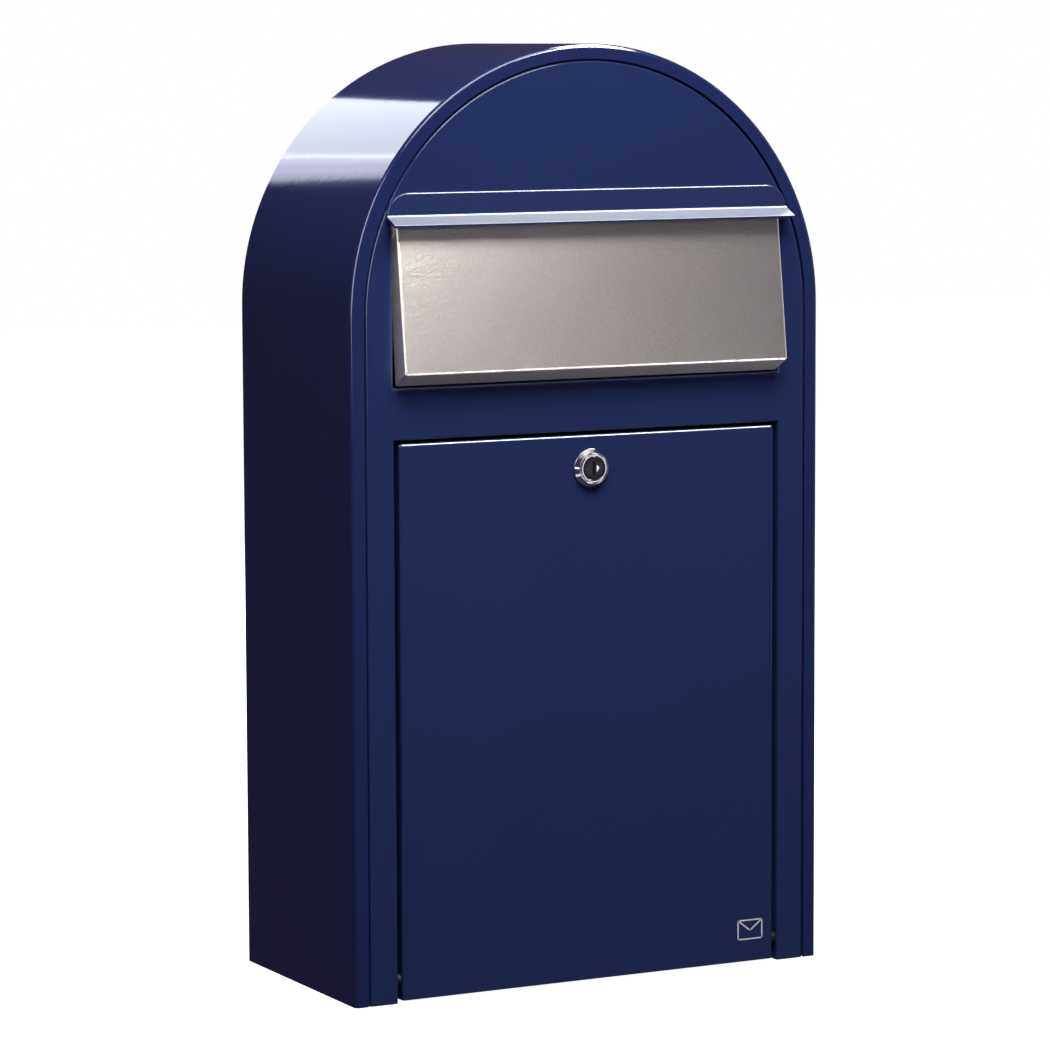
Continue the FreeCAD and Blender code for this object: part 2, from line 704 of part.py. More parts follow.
def make_door_buffers():
    """A rubber button on each door stop."""
    squeeze_gap, rounding = 0.2, 0.8
    start = size["door_flange"] + squeeze_gap
    body = new_piece("door_buffers", y=start, several=True)
    height = size["stop_height"] + size["stop_length"] / 2
    grow(body, "XZ_Plane", 0, stop_arm - start,
         *[(side * size["button_across"], height, size["button_radius"]) for side in (-1, 1)])
    round_edges(body, rounding, {"y": 0})


# ---------------------------------------------------------------- lock

WAFER_COUNT = 5
WAFER_STARTS = [size["wafer_first"] + number * size["wafer_pitch"] for number in range(WAFER_COUNT)]
face_step = 1.8     # depth of the step behind the plug's face
cam_seat = size["lock_length"] + size["cam_play"]


def lock_piece(name):
    return new_piece(name, z=size["lock_height"])


def make_lock_collar():
    """The bright trim ring between the lock's head and the door."""
    body = lock_piece("lock_collar")
    shank_play, head_play = 0.2, 0.15
    foot, bore = size["collar_radius"], size["lock_shank"] + shank_play
    head_bore, head_shows = size["lock_head"] + head_play, 0.5
    band, lip, seat = 1.3, size["lock_proud"] - head_shows, 2.2
    cone, bevel = 2.2, 0.4
    turn_profile(body, [
        (0, bore),
        (0, foot),
        (-band, foot),
        (bevel - lip, foot - cone),
        (-lip, foot - cone - bevel),
        (-lip, head_bore),
        (-seat, head_bore),
        (-seat, bore),
    ])
    round_edges(body, bevel, {"y": -band})


def make_lock_housing():
    """The lock's head and its flatted, threaded shank, bored for the plug."""
    body = lock_piece("lock_housing")
    shank, end = size["lock_shank"], size["lock_length"]
    bore, mouth = size["plug_radius"] + running, size["plug_face"] + running
    head, proud, seat = size["lock_head"], size["lock_proud"], 2.25
    bevel, mouth_bevel = 0.4, 0.3
    turn_profile(body, [
        (-face_step, bore),
        (end, bore),
        (end, shank),
        (-seat, shank),
        (-seat, head),
        (bevel - proud, head),
        (-proud, head - bevel),
        (-proud, mouth + mouth_bevel),
        (mouth_bevel - proud, mouth),
        (-face_step, mouth),
    ])
    flat, outside = size["lock_flat"], shank + OVERCUT
    cut(body, "XZ_Plane", 0, end + OVERCUT,
        rectangle(flat, outside, -outside, outside), rectangle(-outside, -flat, -outside, outside))


def make_lock_plug():
    """The turning plug: stepped face, keyway, tumbler slots and a square tail for the cam."""
    body = lock_piece("lock_plug")
    shoulder, cam_clear = 0.2, 0.2
    end, tail = size["lock_length"] + shoulder, size["tail_half"]
    radius, face, front = size["plug_radius"], size["plug_face"], size["plug_proud"]
    step = face_step + running
    turn_profile(body, [(-front, 0), (end, 0), (end, radius), (-step, radius), (-step, face),
                        (-front, face)])
    tail_length = size["cam_sheet"] - cam_clear
    grow(body, "XZ_Plane", end, tail_length, rectangle(-tail, tail, -tail, tail))
    wide, tall, key_depth = size["keyway_half"], size["keyway_rise"], 16.0
    recess, border, longer = 0.25, 0.6, 0.7
    cut(body, "XZ_Plane", -front, recess,
        rectangle(-wide - border, wide + border, -tall - longer, tall + longer))
    cut(body, "XZ_Plane", -front, key_depth, rectangle(-wide, wide, -tall, tall))
    nib = [(1.7, -2.4), (2.6, -1.6), (3.9, 0.6), (2.6, 2.3), (1.7, 2.3)]
    nib_proud, nib_root = 0.3, 0.1
    grow(body, "XZ_Plane", -front - nib_proud, nib_proud + nib_root, nib)
    slot, slot_low, slot_high, slot_wide = 3.0, -4.6, 7.0, 1.0
    for start in WAFER_STARTS:
        cut(body, "XZ_Plane", start, slot_wide, rectangle(-slot, slot, slot_low, slot_high))
    tapped, tapped_radius = 8.0, 2.05
    cut(body, "XZ_Plane", end + tail_length - tapped, tapped + OVERCUT, (0, 0, tapped_radius))


def make_lock_wafers():
    """The five tumblers, each a plate with a window for the key."""
    body = new_piece("lock_wafers", z=size["lock_height"], several=True)
    play, thick = 0.1, 0.8
    half, low, high = 2.9, -4.5, 5.0
    window_half, window_rise = 1.1, 2.8
    for start in WAFER_STARTS:
        grow(body, "XZ_Plane", start + play, thick, rectangle(-half, half, low, high))
        cut(body, "XZ_Plane", start + play, thick,
            rectangle(-window_half, window_half, -window_rise, window_rise))


def make_lock_washer():
    """The washer between door and lock nut."""
    body = lock_piece("lock_washer")
    outer, play = 11.8, 0.1
    grow(body, "XZ_Plane", steel, size["washer_sheet"], (0, 0, outer), (0, 0, size["lock_shank"] + play))


def make_lock_nut():
    """The hexagon nut that holds the lock in the door."""
    body = lock_piece("lock_nut")
    flat = size["nut_flats"] / 2
    half_side = flat / 3 ** 0.5
    hexagon = [(half_side, -flat), (2 * half_side, 0), (half_side, flat),
               (-half_side, flat), (-2 * half_side, 0), (-half_side, -flat)]
    grow(body, "XZ_Plane", steel + size["washer_sheet"], size["nut_height"], hexagon,
         (0, 0, size["lock_shank"] + running))


def make_lock_cam():
    """The flat cam, drawn pointing aside, clear of its keeper."""
    body = lock_piece("lock_cam")
    half, hub, reach = size["cam_half"], size["cam_hub"], size["cam_reach"]
    hole = size["tail_half"] + running
    grow(body, "XZ_Plane", cam_seat, size["cam_sheet"],
         [(0, -hub), (0, hub, 0, 0, 1), (-hub, half), (-reach, half), (-reach, -half), (-hub, -half)],
         rectangle(-hole, hole, -hole, hole))
    tip_rounding = 3.0
    round_edges(body, tip_rounding, {"x": -reach, "z": half}, {"x": -reach, "z": -half})


def make_cam_washer():
    """The washer under the cam screw."""
    body = lock_piece("cam_washer")
    outer, bore = 5.6, 2.1
    grow(body, "XZ_Plane", cam_seat + size["cam_sheet"], size["washer_sheet"], (0, 0, outer), (0, 0, bore))


def make_cam_screw():
    """The pan-head screw that holds the cam on the plug's tail."""
    body = lock_piece("cam_screw")
    seat = cam_seat + size["cam_sheet"] + size["washer_sheet"]
    head, crown, shank, length = 4.2, 2.6, 2.0, 9.0
    crown_in, crown_down, tip = 1.0, 0.8, 0.5
    turn_profile(body, [
        (seat - length, 0),
        (seat + crown, 0),
        (seat + crown, head - crown_in),
        (seat + crown - crown_down, head),
        (seat, head),
        (seat, shank),
        (seat - length + tip, shank),
        (seat - length, shank - tip),
    ])
    slot_floor, slot_half, slot_reach = seat + 1.2, 0.5, 2.6
    for wide, tall in ((slot_half, slot_reach), (slot_reach, slot_half)):
        cut(body, "XZ_Plane", slot_floor, crown, rectangle(-wide, wide, -tall, tall))


# ---------------------------------------------------------------- build, check, write

def make_all():
    for make in (make_body_shell, make_frame_arch, make_back_panel, make_front_panel, make_floor_panel,
                 make_visor, make_letter_guard, make_lock_keeper, make_flap, make_flap_rod, make_rod_clips,
                 make_flap_buffers, make_door_panel, make_door_buffers, make_lock_collar,
                 make_lock_housing, make_lock_plug, make_lock_wafers, make_lock_washer, make_lock_nut,
                 make_lock_cam, make_cam_washer, make_cam_screw):
        make()
    for word, side in (("left", -1), ("right", 1)):
        make_frame_post(f"frame_post_{word}", side)
        make_door_stop(f"door_stop_{word}", side)
        make_rod_bush(f"rod_bush_{word}", side)
        make_hinge_pin(f"hinge_pin_{word}", side)
        make_hinge_washer(f"hinge_washer_{word}", side)


def check_all():
    """Stop at any object that failed to compute and any piece without a sound closed shape."""
    doc.recompute()
    for thing in doc.Objects:
        if "Invalid" in thing.State or "Error" in thing.State:
            raise RuntimeError(f"{thing.Label} did not compute: {thing.State}")
    pieces = [thing for thing in doc.Objects if thing.TypeId == "PartDesign::Body"]
    for piece in pieces:
        shape = piece.Shape
        if shape.isNull() or not shape.isValid() or not shape.Solids:
            raise RuntimeError(f"{piece.Label} has no sound shape")
    return pieces


make_all()
os.makedirs("parts", exist_ok=True)
for piece in check_all():
    piece.Shape.exportStep(f"parts/{piece.Label}.step")
    box = piece.Shape.BoundBox
    print(f"{piece.Label:20s} {len(piece.Shape.Solids)} solid  {piece.Shape.Volume:10.0f} mm3  "
          f"x {box.XMin:7.1f} {box.XMax:7.1f}  y {box.YMin:6.1f} {box.YMax:6.1f}  "
          f"z {box.ZMin:6.1f} {box.ZMax:6.1f}")
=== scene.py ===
"""The looks of an arched steel letter box: glossy painted sheet, stainless flap, chrome cam lock."""
import math

import bmesh
import bpy
from mathutils import Matrix, Quaternion, Vector


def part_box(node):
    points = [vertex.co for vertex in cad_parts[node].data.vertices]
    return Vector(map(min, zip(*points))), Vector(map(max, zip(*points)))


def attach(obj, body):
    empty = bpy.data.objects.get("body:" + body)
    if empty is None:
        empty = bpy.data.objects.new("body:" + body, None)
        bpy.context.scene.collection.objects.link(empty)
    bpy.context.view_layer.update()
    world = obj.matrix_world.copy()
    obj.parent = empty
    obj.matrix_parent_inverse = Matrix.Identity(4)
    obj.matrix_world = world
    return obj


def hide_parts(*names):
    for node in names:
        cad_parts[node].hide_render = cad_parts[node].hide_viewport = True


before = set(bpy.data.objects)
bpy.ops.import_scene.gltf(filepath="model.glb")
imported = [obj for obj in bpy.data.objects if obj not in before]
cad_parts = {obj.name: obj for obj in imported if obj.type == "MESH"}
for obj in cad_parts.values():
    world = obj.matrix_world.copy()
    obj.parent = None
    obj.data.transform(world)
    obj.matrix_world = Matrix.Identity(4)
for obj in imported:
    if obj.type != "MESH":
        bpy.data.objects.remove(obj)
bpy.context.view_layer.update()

MM = 0.001
STEEL = 1.5 * MM
EDGE = 0.25 * MM            # rounding on a cut sheet edge
EDGE_STEPS = 3


# ------------------------------------------------------------------ sizes read from the frame

wrap_low, wrap_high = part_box("body_shell")
door_low, door_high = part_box("door_panel")
visor_low, visor_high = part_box("visor")
flap_low, flap_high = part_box("flap")
collar_low, collar_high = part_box("lock_collar")

FRONT = wrap_low.y          # the front plane of the box
BACK = wrap_high.y
WRAP_HALF = wrap_high.x
ARCH_CENTRE = wrap_high.z - WRAP_HALF
PANEL_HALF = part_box("front_panel")[1].x
DOOR_HALF = door_high.x
LOCK_Z = (collar_low.z + collar_high.z) / 2

RIM_WIDTH = 9.5 * MM
DOOR_GAP = 3.3 * MM         # beside the door
DOOR_HEAD_GAP = 2.1 * MM    # above it
SLOT_HALF = 138 * MM
SLOT_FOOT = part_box("flap_buffers")[0].z
SLOT_TOP = visor_low.z + 5.95 * MM      # hidden behind the visor's lip
FOLD_DEPTH = 14 * MM        # folds round the slot and the door opening


# ------------------------------------------------------------------ shader writing

class Value:
    """A node socket that can be used in sums; each operation adds a Math node."""

    def __init__(self, paint, socket):
        self.paint = paint
        self.socket = socket

    def _math(self, operation, first, second):
        return self.paint.node("ShaderNodeMath", {"operation": operation}, {0: first, 1: second})

    def __add__(self, other):
        return self._math("ADD", self, other)

    __radd__ = __add__

    def __sub__(self, other):
        return self._math("SUBTRACT", self, other)

    def __rsub__(self, other):
        return self._math("SUBTRACT", other, self)

    def __mul__(self, other):
        return self._math("MULTIPLY", self, other)

    __rmul__ = __mul__

    def above(self, level, blur):
        """0 below the level and 1 above it, with a soft step."""
        return self.paint.node("ShaderNodeMapRange", {"interpolation_type": "SMOOTHSTEP"},
                               {"Value": self, "From Min": level - blur, "From Max": level + blur})


class Paint:
    """One material and the few calls that fill its node tree."""

    def __init__(self, name):
        self.material = bpy.data.materials.new(name)
        self.material.use_nodes = True
        self.tree = self.material.node_tree
        self.tree.nodes.clear()
        self.shader = self.tree.nodes.new("ShaderNodeBsdfPrincipled")
        output = self.tree.nodes.new("ShaderNodeOutputMaterial")
        self.tree.links.new(self.shader.outputs[0], output.inputs["Surface"])

    def node(self, kind, settings=None, inputs=None, output=0):
        """Add a node: its settings first, then the values or links of its sockets."""
        made = self.tree.nodes.new(kind)
        for key, value in (settings or {}).items():
            setattr(made, key, value)
        for key, value in (inputs or {}).items():
            self.feed(made.inputs[key], value)
        return Value(self, made.outputs[output])

    def feed(self, socket, value):
        """Link a Value to a socket, or set the socket to a number, a colour or a vector."""
        if isinstance(value, Value):
            self.tree.links.new(value.socket, socket)
        elif isinstance(value, tuple) and socket.type == "RGBA" and len(value) == 3:
            socket.default_value = (*value, 1)
        else:
            socket.default_value = value

    def set(self, **sockets):
        """Set or link the shader's own sockets, named with underscores for spaces."""
        for name, value in sockets.items():
            self.feed(self.shader.inputs[name.replace("_", " ")], value)

    def place(self, stretch=(1, 1, 1)):
        """Object coordinates in metres, stretched along each axis."""
        where = self.node("ShaderNodeTexCoord", output="Object")
        return self.node("ShaderNodeVectorMath", {"operation": "MULTIPLY"}, {0: where, 1: stretch})

    def noise(self, scale, detail=3.0, rough=0.5, stretch=(1, 1, 1), warp=0.0):
        """Clouds from 0 to 1 over the piece; scale counts them per metre."""
        return self.node("ShaderNodeTexNoise", None, {
            "Vector": self.place(stretch), "Scale": scale, "Detail": detail, "Roughness": rough,
            "Distortion": warp})

    def specks(self, scale, size):
        """1 inside small round specks scattered at random, 0 elsewhere."""
        distance = self.node("ShaderNodeTexVoronoi", {"feature": "F1"},
                             {"Vector": self.place(), "Scale": scale, "Randomness": 1.0})
        return 1 - distance.above(size, size * 0.4)

    def blend(self, amount, first, second):
        """A colour between first and second."""
        return self.node("ShaderNodeMix", {"data_type": "RGBA"},
                         {"Factor": amount, 6: first, 7: second}, output=2)

    def bump(self, height, strength, distance):
        """Relief on the whole surface; distance is its full height in metres."""
        self.set(Normal=self.node("ShaderNodeBump", None, {
            "Height": height, "Strength": strength, "Distance": distance}))


# ------------------------------------------------------------------ finishes

def gloss_blue(name, deep, lit, gloss):
    """Glossy dark-blue powder coat: fine orange peel, faint cloudiness, a few dust nibs."""
    paint = Paint(name)
    cloud = paint.noise(9.0, detail=2.0)
    grain = paint.noise(900.0, detail=2.0, rough=0.6)
    nibs = paint.specks(60.0, 0.02)
    shade = paint.blend(cloud * 0.7 + grain * 0.3, deep, lit)
    paint.set(Base_Color=shade, IOR=1.5, Roughness=gloss + 0.05 * grain + 0.1 * nibs)
    peel = paint.noise(260.0, detail=2.0, rough=0.45)
    slow = paint.noise(45.0, detail=1.0)
    paint.bump(peel * 0.6 + slow * 0.9 + nibs * 0.5, 0.2, 0.00012)
    return paint.material


def stainless_sheet():
    """Ground stainless with a pebbled grain: fine pits and crests, cloudy bands, a few handling marks."""
    paint = Paint("ground_stainless")
    pebbles = paint.noise(520.0, detail=3.0, rough=0.6)
    grit = paint.noise(1700.0, detail=2.0, rough=0.7)
    bands = paint.noise(9.0, detail=3.0, rough=0.5, warp=0.5)
    lines = paint.noise(300.0, detail=3.0, rough=0.7, stretch=(0.2, 5, 5))
    tone = pebbles * 0.45 + grit * 0.25 + bands * 0.3
    paint.set(Base_Color=paint.blend(tone, (0.50, 0.475, 0.455), (0.78, 0.75, 0.72)),
              Metallic=1.0, Roughness=0.35 + 0.08 * lines + 0.08 * pebbles)
    paint.bump(pebbles * 0.6 + grit * 0.25 + lines * 0.15, 1.0, 0.00045)
    return paint.material


def drawn_steel(name, dark, light, rough):
    """Small turned or drawn steel pieces: fine turning lines and a slightly dull skin."""
    paint = Paint(name)
    lines = paint.noise(1400.0, detail=2.0, stretch=(0.2, 3, 3))
    cloud = paint.noise(120.0, detail=3.0)
    paint.set(Base_Color=paint.blend(cloud * 0.6 + lines * 0.4, dark, light), Metallic=1.0,
              Roughness=rough + 0.12 * cloud)
    paint.bump(lines, 0.2, 0.00004)
    return paint.material


def lock_chrome():
    """Polished plating, with the faintest waviness and a little haze."""
    paint = Paint("lock_plating")
    haze = paint.noise(300.0, detail=3.0)
    fine = paint.noise(2500.0, detail=2.0)
    paint.set(Base_Color=paint.blend(haze, (0.72, 0.73, 0.76), (0.86, 0.87, 0.89)), Metallic=1.0,
              Roughness=0.05 + 0.07 * haze)
    paint.bump(haze * 0.8 + fine * 0.2, 0.15, 0.00003)
    return paint.material


def lock_face():
    """The plug's dull die-cast face, with round turning marks and key scratches."""
    paint = Paint("lock_face_metal")
    fine = paint.noise(1800.0, detail=3.0, rough=0.6)
    marks = paint.noise(500.0, detail=4.0, stretch=(3, 1, 0.4))
    scratch = marks.above(0.62, 0.02)
    paint.set(Base_Color=paint.blend(fine * 0.7 + scratch * 0.3, (0.1, 0.095, 0.115), (0.26, 0.25, 0.29)),
              Metallic=0.8, Roughness=0.38 + 0.15 * fine)
    paint.bump(fine * 0.5 + marks * 0.5, 0.3, 0.00005)
    return paint.material


def soft_rubber():
    """Black rubber with a dry grain and a little grey dust."""
    paint = Paint("buffer_rubber")
    grain = paint.noise(1600.0, detail=3.0, rough=0.6)
    dust = paint.noise(90.0, detail=4.0)
    paint.set(Base_Color=paint.blend(dust.above(0.6, 0.15) * 0.5 + grain * 0.2,
                                     (0.012, 0.012, 0.012), (0.06, 0.058, 0.055)),
              Roughness=0.62 + 0.2 * grain)
    paint.bump(grain, 0.35, 0.00008)
    return paint.material


def nylon(name, dark, light):
    """Moulded nylon: a faint mould grain and an uneven tint."""
    paint = Paint(name)
    grain = paint.noise(900.0, detail=3.0)
    tint = paint.noise(60.0, detail=2.0)
    paint.set(Base_Color=paint.blend(tint, dark, light), Roughness=0.4 + 0.15 * grain)
    paint.bump(grain, 0.2, 0.00005)
    return paint.material


def wafer_brass():
    """Stamped brass, unevenly tarnished, with fine upright lines."""
    paint = Paint("wafer_brass")
    lines = paint.noise(1500.0, detail=3.0, stretch=(4, 1, 0.3))
    tarnish = paint.noise(300.0, detail=4.0)
    paint.set(Base_Color=paint.blend(tarnish, (0.42, 0.28, 0.1), (0.75, 0.56, 0.26)), Metallic=1.0,
              Roughness=0.25 + 0.2 * tarnish + 0.05 * lines)
    paint.bump(lines, 0.2, 0.00004)
    return paint.material


def printed_white():
    """Screen ink: off-white, very slightly uneven in cover."""
    paint = Paint("printed_white")
    cover = paint.noise(1200.0, detail=3.0)
    paint.set(Base_Color=paint.blend(cover, (0.8, 0.82, 0.87), (0.92, 0.94, 0.97)),
              Roughness=0.4 + 0.2 * cover)
    paint.bump(cover, 0.1, 0.00002)
    return paint.material


def pale_floor():
    """A matt studio sheet that glows enough to read as white."""
    paint = Paint("studio_floor")
    cloud = paint.noise(3.0, detail=2.0)
    paint.set(Base_Color=paint.blend(cloud, (0.86, 0.86, 0.87), (0.9, 0.9, 0.9)),
              Roughness=0.8 + 0.1 * cloud, Emission_Color=(1.0, 1.0, 1.0), Emission_Strength=1.0)
    return paint.material


# ------------------------------------------------------------------ sheet-metal modelling

def mesh_data(mesh, name):
    """Turn a finished bmesh into mesh data."""
    data = bpy.data.meshes.new(name)
    mesh.to_mesh(data)
    mesh.free()
    return data


def wall(mesh, one, two):
    """Faces between two rings that have the same number of vertices."""
    for number in range(len(one)):
        following = (number + 1) % len(one)
        mesh.faces.new((one[number], one[following], two[following], two[number]))


class Sheet:
    """A folded sheet under construction: flat skins filled between folds that run along paths."""

    def __init__(self):
        self.mesh = bmesh.new()

    def fold(self, path, profile, closed=False):
        """Sweep a profile along a path. A path stop is (point, outward); a profile point is
        (outward, backward) measured from it. Returns the rows of vertices, one per stop."""
        rows = []
        for point, outward in path:
            rows.append([self.mesh.verts.new(point + outward * out + Vector((0, back, 0)))
                         for out, back in profile])
        pairs = list(zip(rows, rows[1:]))
        if closed:
            pairs.append((rows[-1], rows[0]))
        for one, two in pairs:
            for a, b, c, d in zip(one, one[1:], two[1:], two):
                self.mesh.faces.new((a, b, c, d))
        return rows

    def fill(self, *loops):
        """Fill the flat region bounded by the loops, each a closed list of vertices."""
        pairs = [pair for loop in loops for pair in zip(loop, loop[1:] + loop[:1])]
        edges = [self.mesh.edges.get(pair) or self.mesh.edges.new(pair) for pair in pairs]
        bmesh.ops.triangle_fill(self.mesh, use_beauty=True, use_dissolve=False, edges=edges)

    def cap(self, verts):
        self.mesh.faces.new(verts)

    def piece(self, name, body, slot, material, *nodes):
        """Finish the mesh as a piece that stands for CAD nodes."""
        bmesh.ops.remove_doubles(self.mesh, verts=self.mesh.verts, dist=1e-6)
        bmesh.ops.recalc_face_normals(self.mesh, faces=self.mesh.faces)
        thing = add_piece(name, mesh_data(self.mesh, name), body, slot, material, *nodes)
        soften(thing)
        return thing


def add_piece(name, data, body, slot, material, *nodes):
    """Put a mesh in the scene on its body, in place of the CAD nodes it stands for."""
    thing = bpy.data.objects.new(name, data)
    bpy.context.scene.collection.objects.link(thing)
    data.materials.clear()
    data.materials.append(material)
    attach(thing, body)
    if nodes:
        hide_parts(*nodes)
    return thing


def soften(thing, angle=50):
    """Smooth shading in which large flat faces stay flat and only true corners stay sharp."""
    thing.data.shade_smooth()
    thing.data.set_sharp_from_angle(angle=math.radians(angle))
    weighted = thing.modifiers.new("flat_faces_flat", "WEIGHTED_NORMAL")
    weighted.keep_sharp = True
    weighted.weight = 100


def arc(centre, radius, start, end, steps):
    """Points (as pairs) on a circle from one angle to another, in degrees, both ends included."""
    angles = [math.radians(start + (end - start) * step / steps) for step in range(steps + 1)]
    return [(centre[0] + radius * math.cos(a), centre[1] + radius * math.sin(a)) for a in angles]


def cut_edge(depth):
    """Profile round the two small corners of a cut edge that faces backward."""
    outer = arc((-EDGE, depth - EDGE), EDGE, 0, 90, EDGE_STEPS)
    return outer + arc((-STEEL + EDGE, depth - EDGE), EDGE, 90, 180, EDGE_STEPS)


def folded_edge(bend, depth, steps=8):
    """Profile of a fold from a flat front skin back to a cut edge and up the inside again."""
    inner = max(bend - STEEL, 0.1 * MM)
    outside = arc((-bend, bend), bend, -90, 0, steps)
    inside = arc((-STEEL - inner, STEEL + inner), inner, 0, -90, steps)
    return outside + cut_edge(depth) + inside


def arch_path(half, steps=72, parts=6):
    """Stops up the left side, over the arch and down the right side, outward pointing off the box."""
    left, right = Vector((-1, 0, 0)), Vector((1, 0, 0))
    rises = [ARCH_CENTRE * part / parts for part in range(parts)]
    stops = [(Vector((-half, FRONT, z)), left) for z in rises]
    for step in range(steps + 1):
        angle = math.pi * (1 - step / steps)
        outward = Vector((math.cos(angle), 0, math.sin(angle)))
        stops.append((Vector((0, FRONT, ARCH_CENTRE)) + outward * half, outward))
    stops += [(Vector((half, FRONT, z)), right) for z in reversed(rises)]
    return stops


def upright_path(half, face, foot, top, corner, steps):
    """Stops up a plate's left edge, round its two top corners and down its right edge."""
    stops = [(Vector((-half, face, foot)), Vector((-1, 0, 0)))]
    for centre, start, end in ((corner - half, 180, 90), (half - corner, 90, 0)):
        for step in range(steps + 1):
            angle = math.radians(start + (end - start) * step / steps)
            outward = Vector((math.cos(angle), 0, math.sin(angle)))
            stops.append((Vector((centre, face, top - corner)) + outward * corner, outward))
    stops.append((Vector((half, face, foot)), Vector((1, 0, 0))))
    return stops


def close_ends(sheet, rows):
    """Cap both ends of an open sweep whose profile is itself a closed ring."""
    sheet.cap(rows[0])
    sheet.cap(rows[-1][::-1])


def make_wrap(material):
    """The wrap: rim, front fold, side and cut rear edge, as one ring profile swept over the arch."""
    bend, depth = 3.0 * MM, BACK - FRONT
    inner = bend - STEEL
    rim = -RIM_WIDTH
    ring = arc((rim + EDGE, EDGE), EDGE, 180, 270, EDGE_STEPS)
    ring += arc((-bend, bend), bend, -90, 0, 10)
    ring += [(0, bend + (depth - bend) * part / 4) for part in (1, 2, 3)]
    ring += cut_edge(depth)
    ring += arc((-STEEL - inner, STEEL + inner), inner, 0, -90, 8)
    ring += arc((rim + EDGE, STEEL - EDGE), EDGE, 90, 180, EDGE_STEPS)
    sheet = Sheet()
    rows = sheet.fold(arch_path(WRAP_HALF), ring + ring[:1])
    close_ends(sheet, [row[:-1] for row in rows])
    return sheet.piece("wrap", "box", "painted_body", material, "body_shell")


def make_lining(material):
    """The welding frame behind the rim: an angle bent to the arch."""
    low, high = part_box("frame_arch")
    width = 12.5 * MM
    start, depth = low.y - FRONT, high.y - FRONT
    ring = [(-width, start), (-STEEL, start)] + arc((-STEEL, start + STEEL), STEEL, -90, 0, 6)
    ring += [(0, depth), (-STEEL, depth), (-STEEL, start + STEEL), (-width, start + STEEL)]
    sheet = Sheet()
    rows = sheet.fold(arch_path(high.x), ring + ring[:1])
    close_ends(sheet, [row[:-1] for row in rows])
    return sheet.piece("lining", "box", "painted_body", material,
                       "frame_arch", "frame_post_left", "frame_post_right")


def rectangle_path(half, low, high):
    """Stops round a rectangular hole, outward pointing into the hole, mitred at its corners."""
    corners = [(-half, low, 1, 1), (half, low, -1, 1), (half, high, -1, -1), (-half, high, 1, -1)]
    return [(Vector((x, FRONT, z)), Vector((right, 0, up))) for x, z, right, up in corners]


def make_front_sheet(material):
    """The inset front: a flat skin between the fold at its arched edge and those of its openings."""
    arch_bend, arch_depth, door_bend, slot_bend = 1.5 * MM, 2.5 * MM, 1.2 * MM, 3.0 * MM
    opening, top = DOOR_HALF + DOOR_GAP, door_high.z + DOOR_HEAD_GAP
    sheet = Sheet()
    edge_rows = sheet.fold(arch_path(PANEL_HALF), folded_edge(arch_bend, arch_depth))
    slot_path = rectangle_path(SLOT_HALF, SLOT_FOOT, SLOT_TOP)
    slot_rows = sheet.fold(slot_path, folded_edge(slot_bend, FOLD_DEPTH), closed=True)
    door_path = [
        (Vector((-opening, FRONT, 0)), Vector((1, 0, 0))),
        (Vector((-opening, FRONT, top)), Vector((1, 0, -1))),
        (Vector((opening, FRONT, top)), Vector((-1, 0, -1))),
        (Vector((opening, FRONT, 0)), Vector((-1, 0, 0))),
    ]
    door_rows = sheet.fold(door_path, folded_edge(door_bend, FOLD_DEPTH))
    for skin in (0, -1):
        outline = [row[skin] for row in edge_rows] + [row[skin] for row in reversed(door_rows)]
        sheet.fill(outline, [row[skin] for row in slot_rows])
    for edge, post in ((edge_rows[0], door_rows[0]), (edge_rows[-1], door_rows[-1])):
        sheet.cap(edge + post[::-1])
    return sheet.piece("front_sheet", "box", "painted_front", material, "front_panel")


def make_door_sheet(material):
    """The door: folds up both sides and over the top with small round corners, and the lock hole."""
    corner, bend, hole = 2.2 * MM, 1.8 * MM, 8.1 * MM
    hole_sides = 32
    path = upright_path(DOOR_HALF, FRONT, door_low.z, door_high.z, corner, 6)
    sheet = Sheet()
    rows = sheet.fold(path, folded_edge(bend, door_high.y - FRONT))
    angles = [math.tau * step / hole_sides for step in range(hole_sides)]
    rings = [[sheet.mesh.verts.new((hole * math.cos(a), FRONT + back, LOCK_Z + hole * math.sin(a)))
              for a in angles] for back in (0, STEEL)]
    wall(sheet.mesh, *rings)
    for skin, ring in ((0, rings[0]), (-1, rings[1])):
        sheet.fill([row[skin] for row in rows], ring)
    sheet.cap(rows[0] + rows[-1][::-1])
    return sheet.piece("door_sheet", "door", "painted_front", material, "door_panel")


